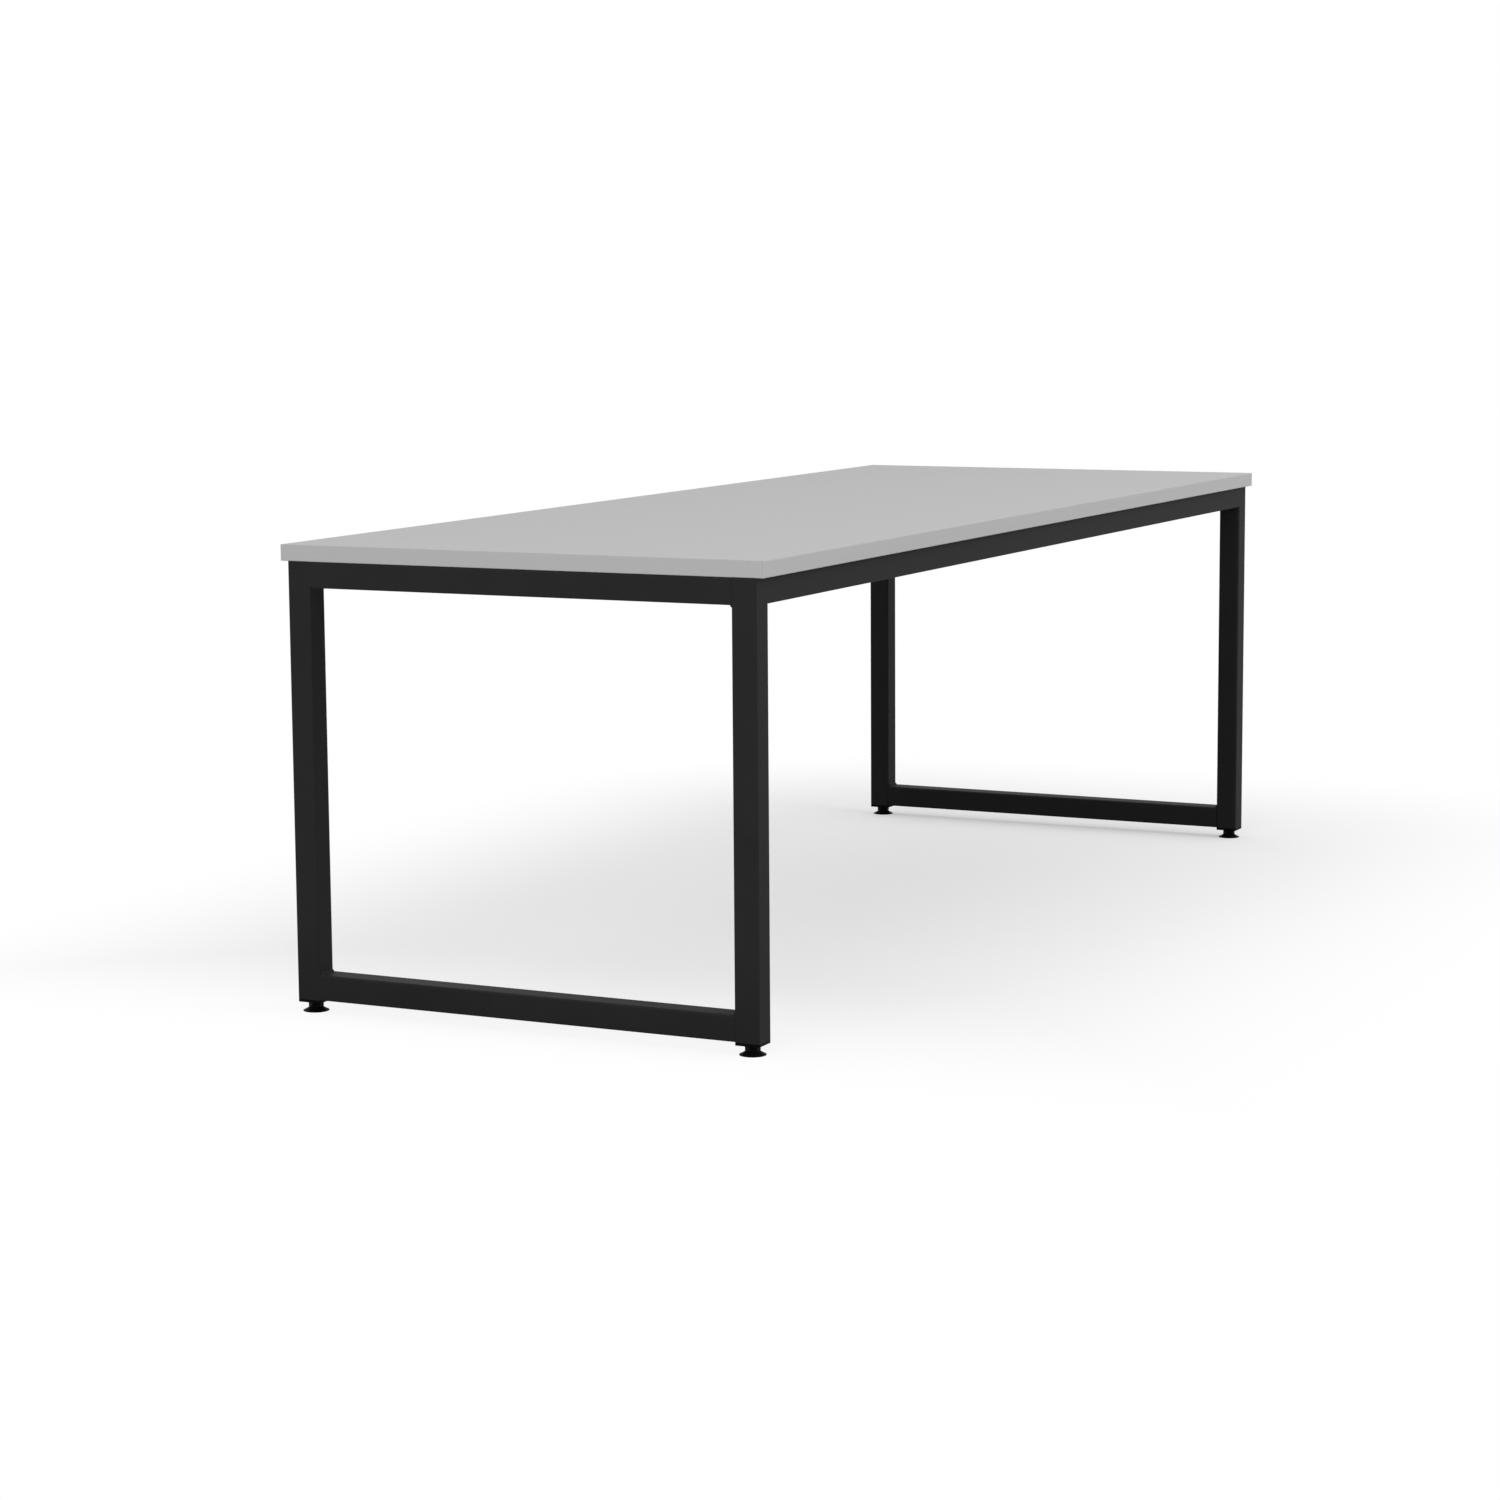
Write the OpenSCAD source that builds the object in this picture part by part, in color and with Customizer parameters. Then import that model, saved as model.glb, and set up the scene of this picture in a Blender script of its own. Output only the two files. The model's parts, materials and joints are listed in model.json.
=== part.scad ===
// Dining table: a welded frame of square steel tube carries a melamine-faced board.
// Each post is closed by a ribbed plastic insert, and a levelling foot screws into it.
// The origin is on the floor at the middle of the table, with the feet screwed fully in.
// X runs along the length, Y across the width and Z up.
// The near end is at -X, the far end at +X, the right side at -Y and the left side at +Y.

/* [Table] */
// Overall length of the table top
table_length = 2180; // [1200:10:3000]
// Overall width of the table top
table_width = 815; // [600:5:1200]
// Height of the top's upper face above the floor
table_height = 720; // [450:5:1100]

/* [Top] */
// Thickness of the board
top_thickness = 25; // [18:1:38]
// How far the top stands out past the frame along each long side
side_overhang = 12.5; // [0:0.5:60]
// How far the top stands out past the frame at each short end
end_overhang = 0; // [0:1:100]
// Thickness of the plastic edging glued round the board
edging_thickness = 2; // [1:0.5:3]
// Radius of the edging's upper and lower arris
arris_radius = 1.5; // [0.5:0.1:2.5]
// Radius of the top's corners in plan
corner_radius = 2.5; // [1:0.5:5]

/* [Frame] */
// Outside size of the square tube
tube_size = 40; // [34:1:60]
// Wall thickness of the tube
tube_wall = 2; // [1.2:0.1:3]
// Outside corner radius of the tube
tube_corner = 3.5; // [2:0.5:6]
// Leg of the weld beads in the frame's corners
weld_leg = 5; // [3:0.5:8]

/* [Top fixing] */
// Brackets along each long side
side_brackets = 4; // [2:1:8]
// Brackets along each short end
end_brackets = 2; // [1:1:4]
// Distance from a post to the middle of the nearest bracket
bracket_inset = 150; // [60:5:220]
// Length of a bracket along its rail
bracket_length = 40; // [20:1:80]
// How far a bracket reaches in under the board
bracket_reach = 28; // [22:1:50]
// Height of the leg that is welded to the rail
bracket_drop = 25; // [14:1:32]
// Thickness of the bracket's sheet steel
bracket_thickness = 3; // [1.5:0.5:4]
// Inside radius of the bracket's fold
bracket_fold = 2; // [1:0.5:4]
// Clearance hole for the screw
bracket_hole = 6; // [5:0.5:8]
// Distance from the rail to the middle of the screw
screw_offset = 17; // [13:0.5:19]
// Core diameter of the screw, and of the pilot hole in the board
screw_core = 3.4; // [2.5:0.1:4.5]
// Diameter of the screw's pan head
head_diameter = 9.6; // [8:0.1:12]
// Height of the screw's pan head
head_height = 3; // [2:0.1:4]
// Solid board left above the tip of a screw
screw_cover = 8; // [3:0.5:12]
// Extra depth drilled past the tip of a screw
pilot_extra = 1; // [0:0.5:2]

/* [Tube insert] */
// Thickness of the flange that shows below the post
flange_thickness = 4.5; // [2.5:0.5:8]
// Softened edge of the flange
flange_arris = 0.6; // [0.2:0.1:1.2]
// Wall of the plug inside the tube
plug_wall = 2; // [1.2:0.1:3]
// How far a fin stands out from the plug
fin_depth = 2.4; // [1:0.1:4]
// Thickness of a fin
fin_thickness = 1.2; // [0.8:0.1:2]
// Number of fins up the plug
fin_count = 4; // [2:1:6]
// Gap left round the fins in the tube
insert_clearance = 0.1; // [0.05:0.05:0.3]
// Plastic from the flange's underside up to the nut
nut_floor = 6; // [5:0.5:10]
// Plastic above the nut
nut_cover = 12; // [4:0.5:20]
// Plastic round the corners of the nut
boss_wall = 1.8; // [1:0.1:2.5]
// Thickness of the webs between the boss and the plug's walls
web_thickness = 2; // [1:0.1:4]

/* [Levelling foot] */
// Outside diameter of the stud's thread
stud_diameter = 10; // [6:1:12]
// Radial gap between the stud and its nut
thread_clearance = 0.1; // [0.05:0.01:0.1]
// Size across the flats of the nut and of the stud's head
hex_flats = 17; // [14:0.5:18]
// Height of the nut
nut_height = 8; // [5:0.5:10]
// Height of the stud's head
head_thickness = 6.4; // [4:0.2:7]
// How far the foot screws out with its nut still fully engaged
foot_travel = 15; // [5:1:40]
// Bevel at the stud's tip
stud_bevel = 1; // [0.5:0.1:2]
// Size of the hexagonal hub across its flats
hub_flats = 20; // [20:0.5:26]
// Height of the hub
hub_height = 9.5; // [9:0.5:16]
// Plastic under the stud's head in the hub
hub_floor = 1.6; // [1:0.1:1.9]
// Height of the bevel at the hub's corners
hub_bevel = 0.9; // [0.3:0.1:1.5]
// Diameter of the neck that turns in the pad
neck_diameter = 13; // [10:0.5:15]
// Radial gap between the neck and the pad
swivel_clearance = 0.1; // [0.05:0.01:0.1]
// How far the snap bead stands out from the neck
bead_depth = 0.7; // [0.3:0.1:1]
// Room round and above the snap bead
bead_clearance = 0.3; // [0.2:0.05:0.4]
// Diameter of the pad
pad_diameter = 40; // [32:1:60]
// Height of the pad
pad_height = 6; // [5.5:0.5:12]
// Height of the pad's upright rim
pad_rim = 0.8; // [0.6:0.1:1.5]
// How hollow the pad's flare is: 1 is a straight cone, 2 a parabola
flare_hollow = 1.25; // [1:0.05:2]
// How far the pad's crown stands out past the hub's flats
crown_margin = 1; // [0.5:0.1:2]
// Height of the collar that holds the snap bead down
collar_height = 2.4; // [1.5:0.1:2.8]
// Wall of the hollow pad
pad_wall = 1.5; // [1:0.1:1.8]
// Width of the ring that rests on the floor
rest_width = 4.8; // [3:0.1:6]
// Stiffening ribs under the pad
pad_ribs = 8; // [4:1:12]
// Thickness of a stiffening rib
rib_thickness = 1; // [0.6:0.1:2]
// How far the ribs and the socket stay above the floor
rib_lift = 0.4; // [0.2:0.1:1]

/* [Hidden] */
$fn = 64;

near = -1;
far = 1;
right = -1;
left = 1;

board_grey = "#b9babb";
edging_grey = "#a9aaab";
powder_black = "#2a2a2b";
plastic_black = "#151516";
zinc = "#b4b7ba";

// Small overlap that lets a cut run clean through a face
cut = 1;

// Heights, from the floor up
hub_bottom = pad_height;
flange_bottom = hub_bottom + hub_height;
post_bottom = flange_bottom + flange_thickness;
frame_top = table_height - top_thickness;
post_height = frame_top - post_bottom;

// Plan of the frame
frame_length = table_length - 2 * end_overhang;
frame_width = table_width - 2 * side_overhang;
post_x = (frame_length - tube_size) / 2;
post_y = (frame_width - tube_size) / 2;
inner_x = frame_length / 2 - tube_size;
inner_y = frame_width / 2 - tube_size;

tube_bore = tube_size - 2 * tube_wall;
bore_corner = max(tube_corner - tube_wall, 0.3);
tube_flat = tube_size - 2 * tube_corner;

// How far behind its corner a bead's arc is centred, in legs: further makes a flatter bead
bead_flatness = 2;

// The arris can't be rounder than the strip is thick
top_arris = min(arris_radius, edging_thickness);

screw_length = bracket_thickness + top_thickness - screw_cover;

fin_size = tube_bore - 2 * insert_clearance;
plug_size = fin_size - 2 * fin_depth;
nut_bottom = flange_bottom + nut_floor;
nut_top = nut_bottom + nut_height;
plug_top = nut_top + nut_cover;
hex_corners = hex_flats / cos(30);
boss_diameter = hex_corners + 2 * boss_wall;
stud_bore = stud_diameter + 2 * thread_clearance;

// At full travel the straight part of the stud still fills the nut
stud_top = nut_top + foot_travel + stud_bevel;
stud_head_bottom = hub_bottom + hub_floor;

neck_radius = neck_diameter / 2;
bead_radius = neck_radius + bead_depth;
collar_bottom = pad_height - collar_height;
socket_radius = bead_radius + bead_clearance;
crown_radius = hub_flats / 2 + crown_margin;
pad_radius = pad_diameter / 2;

// Evenly spaced places over a span centred on zero
function spread(count, span) =
    count == 1 ? [0] : [for (i = [0:count - 1]) span * (i / (count - 1) - 0.5)];

// Bracket places: X, Y and the turn that points a bracket in under the board
function side_places(side) =
    [for (x = spread(side_brackets, 2 * (inner_x - bracket_inset))) [x, side * inner_y, -90 * side]];
function end_places(end) =
    [for (y = spread(end_brackets, 2 * (inner_y - bracket_inset))) [end * inner_x, y, end == near ? 0 : 180]];
all_places = concat(side_places(right), side_places(left), end_places(near), end_places(far));

// Height of the pad's flared upper face, which climbs in a hollow curve from its rim to its crown
function flare(r) =
    pad_rim + (pad_height - pad_rim) * pow((pad_radius - r) / (pad_radius - crown_radius), flare_hollow);

// Rectangle with round corners, centred on the origin
module rounded_rectangle(length, width, radius) {
    square([length - 2 * radius, width], center = true);
    square([length, width - 2 * radius], center = true);
    for (x = [-1, 1], y = [-1, 1])
        translate([x * (length / 2 - radius), y * (width / 2 - radius)])
            circle(radius);
}

// Slab standing on Z = 0, rounded in plan and along its upper and lower edges
module soft_slab(length, width, thickness, corner, arris) {
    intersection() {
        linear_extrude(thickness)
            rounded_rectangle(length, width, corner);
        translate([0, 0, thickness / 2])
            rotate([90, 0, 90])
                linear_extrude(length, center = true)
                    rounded_rectangle(width, thickness, arris);
        translate([0, 0, thickness / 2])
            rotate([90, 0, 0])
                linear_extrude(width, center = true)
                    rounded_rectangle(length, thickness, arris);
    }
}

// Whole outline of the table top, board and edging together
module top_outline() {
    translate([0, 0, frame_top])
        soft_slab(table_length, table_width, top_thickness, corner_radius, top_arris);
}

// Box that the board fills between the edging strips
module board_space() {
    translate([0, 0, frame_top + top_thickness / 2])
        cube([table_length - 2 * edging_thickness, table_width - 2 * edging_thickness,
              top_thickness + 2 * cut], center = true);
}

module top_board() {
    color(board_grey)
        difference() {
            intersection() {
                top_outline();
                board_space();
            }
            for (place = all_places)
                at_bracket(place)
                    translate([screw_offset, 0, -cut])
                        cylinder(h = screw_length - bracket_thickness + pilot_extra + cut, d = screw_core);
        }
}

// A side strip runs the whole length and covers the ends of the end strips
module side_edging(side) {
    color(edging_grey)
        intersection() {
            top_outline();
            translate([0, side * (table_width - edging_thickness) / 2, frame_top + top_thickness / 2])
                cube([table_length + 2 * cut, edging_thickness, top_thickness + 2 * cut], center = true);
        }
}

module end_edging(end) {
    color(edging_grey)
        intersection() {
            top_outline();
            translate([end * (table_length - edging_thickness) / 2, 0, frame_top + top_thickness / 2])
                cube([edging_thickness, table_width - 2 * edging_thickness, top_thickness + 2 * cut],
                     center = true);
        }
}

module tube(length) {
    color(powder_black)
        linear_extrude(length, center = true)
            difference() {
                rounded_rectangle(tube_size, tube_size, tube_corner);
                rounded_rectangle(tube_bore, tube_bore, bore_corner);
            }
}

module post(end, side) {
    translate([end * post_x, side * post_y, post_bottom + post_height / 2])
        tube(post_height);
}

// Rail across one end, butted between its two posts
module cross_rail(end, z) {
    translate([end * post_x, 0, z])
        rotate([90, 0, 0])
            tube(2 * inner_y);
}

module end_rail(end) {
    cross_rail(end, frame_top - tube_size / 2);
}

module foot_rail(end) {
    cross_rail(end, post_bottom + tube_size / 2);
}

// Long rail, butted between the posts of the two ends
module side_rail(side) {
    translate([0, side * post_y, frame_top - tube_size / 2])
        rotate([0, 90, 0])
            tube(2 * inner_x);
}

// Weld bead along Y that fills the corner between +X and +Z, with a slightly crowned face
module weld_bead(leg, length) {
    behind = bead_flatness * leg;
    rotate([90, 0, 0])
        linear_extrude(length, center = true)
            intersection() {
                square(2 * leg);
                translate([-behind, -behind])
                    circle(norm([leg + behind, behind]));
            }
}

// Beads on the inner faces of one post: over its foot rail and under its two upper rails
module post_welds(end, side) {
    translate([end * post_x, side * inner_y, post_bottom + tube_size])
        rotate([0, 0, -90 * side])
            weld_bead(weld_leg, tube_flat);
    translate([end * post_x, side * inner_y, frame_top - tube_size])
        rotate([0, 0, -90 * side])
            mirror([0, 0, 1])
                weld_bead(weld_leg, tube_flat);
    translate([end * inner_x, side * post_y, frame_top - tube_size])
        rotate([0, 0, end == near ? 0 : 180])
            mirror([0, 0, 1])
                weld_bead(weld_leg, tube_flat);
}

// Upright beads at both ends of a bracket, no wider than its sheet is thick
module bracket_welds() {
    leg = min(weld_leg, bracket_thickness);
    length = bracket_drop - 2 * (bracket_fold + bracket_thickness);
    for (y = [-1, 1])
        translate([0, y * bracket_length / 2, -bracket_drop / 2])
            rotate([-90 * y, 0, 0])
                weld_bead(leg, length);
}

module frame_welds() {
    color(powder_black) {
        for (end = [near, far], side = [left, right])
            post_welds(end, side);
        for (place = all_places)
            at_bracket(place)
                bracket_welds();
    }
}

// Stands children at a bracket's place, with X pointing in under the board from the rail's face
module at_bracket(place) {
    translate([place[0], place[1], frame_top])
        rotate([0, 0, place[2]])
            children();
}

// Outline of an angle's quarter plane, rounded at its corner by the given radius
module rounded_quarter(radius) {
    translate([radius, -bracket_drop])
        square([bracket_reach - radius, bracket_drop]);
    translate([0, -bracket_drop])
        square([radius, bracket_drop - radius]);
    translate([radius, -radius])
        circle(radius);
}

// Folded angle with its upright leg on the rail's flat inner face
module bracket() {
    difference() {
        rotate([90, 0, 0])
            linear_extrude(bracket_length, center = true)
                difference() {
                    rounded_quarter(bracket_fold + bracket_thickness);
                    translate([bracket_thickness, -bracket_thickness])
                        rounded_quarter(bracket_fold);
                }
        translate([screw_offset, 0, -bracket_thickness - cut])
            cylinder(h = bracket_thickness + 2 * cut, d = bracket_hole);
    }
}

module brackets(places) {
    color(powder_black)
        for (place = places)
            at_bracket(place)
                bracket();
}

// Pan-head screw, driven up through the bracket into the board
module screw() {
    rotate_extrude()
        polygon(concat(
            [[0, -head_height]],
            [for (a = [0:15:90]) [head_diameter / 2 * sin(a), -head_height * cos(a)]],
            [[screw_core / 2, 0], [screw_core / 2, screw_length - screw_core], [0, screw_length]]));
}

module top_screws() {
    color(zinc)
        for (place = all_places)
            at_bracket(place)
                translate([screw_offset, 0, -bracket_thickness])
                    screw();
}

// Stands children on the floor under one post
module at_foot(end, side) {
    translate([end * post_x, side * post_y, 0])
        children();
}

module hexagon(flats, height) {
    cylinder(h = height, d = flats / cos(30), $fn = 6);
}

// Hollow plug with its boss, webs and fins, from the flange up
module plug() {
    difference() {
        linear_extrude(plug_top - post_bottom)
            square(plug_size, center = true);
        translate([0, 0, flange_arris])
            linear_extrude(plug_top)
                square(plug_size - 2 * plug_wall, center = true);
    }
    cylinder(h = plug_top - post_bottom, d = boss_diameter);
    for (turn = [0, 90])
        rotate([0, 0, turn])
            translate([0, 0, (plug_top - post_bottom) / 2])
                cube([plug_size, web_thickness, plug_top - post_bottom], center = true);
    fin_pitch = (plug_top - post_bottom - fin_thickness) / fin_count;
    for (i = [1:fin_count])
        translate([0, 0, i * fin_pitch])
            linear_extrude(fin_thickness)
                difference() {
                    rounded_rectangle(fin_size, fin_size, bore_corner);
                    square(plug_size - plug_wall, center = true);
                }
}

// Ribbed insert: its flange closes the post and its boss holds the nut
module tube_insert(end, side) {
    color(plastic_black)
        at_foot(end, side)
            difference() {
                union() {
                    translate([0, 0, flange_bottom])
                        soft_slab(tube_size, tube_size, flange_thickness, tube_corner, flange_arris);
                    translate([0, 0, post_bottom])
                        plug();
                }
                translate([0, 0, flange_bottom - cut])
                    cylinder(h = plug_top - flange_bottom + 2 * cut, d = stud_bore);
                translate([0, 0, nut_bottom])
                    hexagon(hex_flats, nut_height);
            }
}

module insert_nuts() {
    color(zinc)
        for (end = [near, far], side = [left, right])
            at_foot(end, side)
                translate([0, 0, nut_bottom])
                    difference() {
                        hexagon(hex_flats, nut_height);
                        translate([0, 0, -cut])
                            cylinder(h = nut_height + 2 * cut, d = stud_bore);
                    }
}

// Threaded stud, moulded into the hub by its hexagonal head
module stud(end, side) {
    color(zinc)
        at_foot(end, side) {
            translate([0, 0, stud_head_bottom])
                hexagon(hex_flats, head_thickness);
            translate([0, 0, stud_head_bottom])
                cylinder(h = stud_top - stud_bevel - stud_head_bottom, d = stud_diameter);
            translate([0, 0, stud_top - stud_bevel])
                cylinder(h = stud_bevel, d1 = stud_diameter, d2 = stud_diameter - 2 * stud_bevel);
        }
}

// Hexagonal hub for a spanner, with the neck and snap bead that turn in the pad
module hub(end, side) {
    hub_corner = hub_flats / cos(30) / 2;
    bevel_in = hub_bevel / tan(30);
    color(plastic_black)
        at_foot(end, side)
            difference() {
                union() {
                    intersection() {
                        translate([0, 0, hub_bottom])
                            hexagon(hub_flats, hub_height);
                        rotate_extrude()
                            polygon([[0, hub_bottom],
                                     [hub_corner - bevel_in, hub_bottom],
                                     [hub_corner, hub_bottom + hub_bevel],
                                     [hub_corner, flange_bottom - hub_bevel],
                                     [hub_corner - bevel_in, flange_bottom],
                                     [0, flange_bottom]]);
                    }
                    rotate_extrude()
                        neck_outline();
                }
                translate([0, 0, stud_head_bottom])
                    hexagon(hex_flats, head_thickness);
                translate([0, 0, stud_head_bottom])
                    cylinder(h = flange_bottom - stud_head_bottom + cut, d = stud_diameter);
            }
}

// Half outline of the neck: it passes the pad's collar and spreads below it
module neck_outline() {
    bead_top = collar_bottom - bead_clearance;
    neck_bottom = 2 * rib_lift;
    polygon([[0, neck_bottom],
             [neck_radius - bead_depth, neck_bottom],
             [bead_radius, bead_top - bead_depth],
             [bead_radius, bead_top],
             [neck_radius, bead_top],
             [neck_radius, hub_bottom + cut / 2],
             [0, hub_bottom + cut / 2]]);
}

// Pad: a flared disc with a collar for the neck, hollow below and stiffened by ribs
module pad(end, side) {
    flare_steps = 10;
    rest_inner = pad_radius - rest_width;
    socket_outer = socket_radius + pad_wall;
    hollow_top = pad_height - pad_wall;
    color(plastic_black)
        at_foot(end, side)
            difference() {
                rotate_extrude()
                    polygon(concat(
                        [[neck_radius + swivel_clearance, pad_height],
                         [neck_radius + swivel_clearance, collar_bottom],
                         [socket_radius, collar_bottom],
                         [socket_radius, 0],
                         [pad_radius, 0]],
                        [for (i = [0:flare_steps])
                            let (r = pad_radius - i / flare_steps * (pad_radius - crown_radius))
                            [r, flare(r)]]));
                difference() {
                    rotate_extrude()
                        polygon([[socket_radius - cut, -cut],
                                 [rest_inner, -cut],
                                 [rest_inner, flare(rest_inner) - pad_wall],
                                 [crown_radius, hollow_top],
                                 [socket_outer, hollow_top],
                                 [socket_outer, rib_lift],
                                 [socket_radius - cut, rib_lift]]);
                    for (i = [0:pad_ribs - 1])
                        rotate([0, 0, 360 * i / pad_ribs])
                            translate([socket_outer - cut, -rib_thickness / 2, rib_lift])
                                cube([rest_inner - socket_outer + 2 * cut, rib_thickness, pad_height]);
                }
            }
}

top_board();
end_edging(near);  // edging_near
end_edging(far);  // edging_far
side_edging(left);  // edging_left
side_edging(right);  // edging_right
post(near, left);  // post_near_left
post(near, right);  // post_near_right
post(far, left);  // post_far_left
post(far, right);  // post_far_right
end_rail(near);  // end_rail_near
end_rail(far);  // end_rail_far
foot_rail(near);  // foot_rail_near
foot_rail(far);  // foot_rail_far
side_rail(left);  // side_rail_left
side_rail(right);  // side_rail_right
frame_welds();
brackets(end_places(near));  // top_brackets_near
brackets(end_places(far));  // top_brackets_far
brackets(side_places(left));  // top_brackets_left
brackets(side_places(right));  // top_brackets_right
top_screws();
tube_insert(near, left);  // insert_near_left
tube_insert(near, right);  // insert_near_right
tube_insert(far, left);  // insert_far_left
tube_insert(far, right);  // insert_far_right
insert_nuts();
stud(near, left);  // stud_near_left
stud(near, right);  // stud_near_right
stud(far, left);  // stud_far_left
stud(far, right);  // stud_far_right
hub(near, left);  // hub_near_left
hub(near, right);  // hub_near_right
hub(far, left);  // hub_far_left
hub(far, right);  // hub_far_right
pad(near, left);  // pad_near_left
pad(near, right);  // pad_near_right
pad(far, left);  // pad_far_left
pad(far, right);  // pad_far_right
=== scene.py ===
# %% [markdown]
# A long table: a grey board on a black steel frame
#
# The table is a melamine-faced board on a welded frame of 40 mm square tube, standing on four feet that
# screw in and out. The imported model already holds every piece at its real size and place. This script
# dresses that model: it sets the camera, the light and the floor, gives each piece its finish, and makes
# the pieces whose looks need more than a plain solid, which are the weld beads, the threads and the
# screws.

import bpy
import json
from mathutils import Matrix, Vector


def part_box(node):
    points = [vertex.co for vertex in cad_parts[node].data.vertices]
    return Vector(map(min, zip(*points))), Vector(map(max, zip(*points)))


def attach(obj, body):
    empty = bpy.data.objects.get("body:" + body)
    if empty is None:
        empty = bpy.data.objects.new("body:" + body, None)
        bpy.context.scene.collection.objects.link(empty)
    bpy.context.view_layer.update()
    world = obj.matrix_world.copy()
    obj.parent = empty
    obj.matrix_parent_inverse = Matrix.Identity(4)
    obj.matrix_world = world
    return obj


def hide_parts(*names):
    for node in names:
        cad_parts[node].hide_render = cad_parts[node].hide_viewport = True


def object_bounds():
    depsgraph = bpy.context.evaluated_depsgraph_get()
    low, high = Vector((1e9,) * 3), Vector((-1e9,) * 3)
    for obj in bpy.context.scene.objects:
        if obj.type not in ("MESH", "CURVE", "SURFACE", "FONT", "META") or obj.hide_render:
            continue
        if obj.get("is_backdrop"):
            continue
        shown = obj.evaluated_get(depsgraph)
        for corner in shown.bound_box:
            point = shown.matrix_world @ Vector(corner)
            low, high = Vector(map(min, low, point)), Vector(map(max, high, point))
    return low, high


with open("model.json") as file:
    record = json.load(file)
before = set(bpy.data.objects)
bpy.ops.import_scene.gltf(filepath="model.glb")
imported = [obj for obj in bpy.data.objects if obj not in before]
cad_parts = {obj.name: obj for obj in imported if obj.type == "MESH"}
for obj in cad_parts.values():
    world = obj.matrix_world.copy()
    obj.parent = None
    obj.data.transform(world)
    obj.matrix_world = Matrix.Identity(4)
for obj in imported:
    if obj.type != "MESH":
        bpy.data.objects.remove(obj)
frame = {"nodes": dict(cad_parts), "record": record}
cad_low, cad_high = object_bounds()
print("overall size in metres:", [round(c, 4) for c in cad_high - cad_low])

# %% [markdown]
# Node trees by the line
#
# Every finish and most of the small parts below are node trees. Written out in full, a tree takes two or
# three lines for each node, and the idea is lost among them. One helper adds a node and feeds it at the
# same time, and a second one starts a group with named sockets, so that a tree reads from top to bottom
# like a recipe.

# %% Helpers for node trees
import json
import math

import bpy
from mathutils import Matrix, Vector


def add(tree, kind, inputs=(), **settings):
    """Adds a node, and feeds its inputs with plain values or with the outputs of other nodes."""
    node = tree.nodes.new(kind)
    for name, value in settings.items():
        setattr(node, name, value)
    for key, value in inputs.items() if isinstance(inputs, dict) else enumerate(inputs):
        if isinstance(value, bpy.types.NodeSocket):
            tree.links.new(value, node.inputs[key])
        elif value is not None:
            node.inputs[key].default_value = value
    return node


def sums(tree, operation, *values):
    """One step of arithmetic on numbers."""
    return add(tree, "ShaderNodeMath", values, operation=operation).outputs[0]


def vectors(tree, operation, *values):
    """One step of arithmetic on vectors."""
    return add(tree, "ShaderNodeVectorMath", values, operation=operation).outputs[0]


def ramp(tree, value, from_low, from_high, to_low, to_high):
    """Stretches one span of numbers over another and stops at its ends."""
    return add(tree, "ShaderNodeMapRange", (value, from_low, from_high, to_low, to_high)).outputs[0]


def noise(tree, place, per_metre, detail):
    """Smooth random numbers, most of them from 0.3 to 0.7, with so many swells in a metre."""
    sockets = {"Vector": place, "Scale": per_metre, "Detail": detail}
    return add(tree, "ShaderNodeTexNoise", sockets).outputs[0]


def start_group(name, kind, inputs, outputs):
    """Makes a node group from rows of (socket name, socket type, value) and (socket name, socket type)."""
    group = bpy.data.node_groups.new(name, kind)
    for label, socket_type, value in inputs:
        socket = group.interface.new_socket(label, in_out="INPUT", socket_type="NodeSocket" + socket_type)
        if value is not None:
            socket.default_value = value
    for label, socket_type in outputs:
        group.interface.new_socket(label, in_out="OUTPUT", socket_type="NodeSocket" + socket_type)
    return group, group.nodes.new("NodeGroupInput").outputs, group.nodes.new("NodeGroupOutput").inputs


# %% [markdown]
# The camera
#
# The picture was taken from just above the height of the top, off the near right-hand corner, with a
# moderately long lens, so the far end shrinks but the posts stay upright. Place, aim and lens were found
# together: a camera model was turned and moved until 27 straight edges of the table fell on those of the
# picture. The roll of less than half a degree belongs to that fit.

# %% Camera
photo_pixels = 1500
focal_pixels = 3571.8
sensor_width = 36.0
camera_place = Vector((-5.6178, -2.6182, 1.1478))
camera_yaw, camera_pitch, camera_roll = math.radians(26.267), math.radians(-7.880), math.radians(-0.406)


def camera_matrix(place, yaw, pitch, roll):
    """Matrix of a camera that looks along yaw, measured from +X, and pitch, and then rolls."""
    forward = Vector((math.cos(yaw) * math.cos(pitch), math.sin(yaw) * math.cos(pitch), math.sin(pitch)))
    level = Vector((math.sin(yaw), -math.cos(yaw), 0))
    upright = level.cross(forward)
    across = level * math.cos(roll) + upright * math.sin(roll)
    up = upright * math.cos(roll) - level * math.sin(roll)
    turn = Matrix((across, up, -forward)).transposed().to_4x4()
    return Matrix.Translation(place) @ turn


scene = bpy.context.scene
camera = bpy.data.objects.new("camera", bpy.data.cameras.new("camera"))
camera.data.sensor_width = sensor_width
camera.data.lens = sensor_width * focal_pixels / photo_pixels
camera.matrix_world = camera_matrix(camera_place, camera_yaw, camera_pitch, camera_roll)
scene.collection.objects.link(camera)
scene.camera = camera
scene.view_settings.view_transform = "Standard"
print("lens in millimetres:", round(camera.data.lens, 2))

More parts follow.
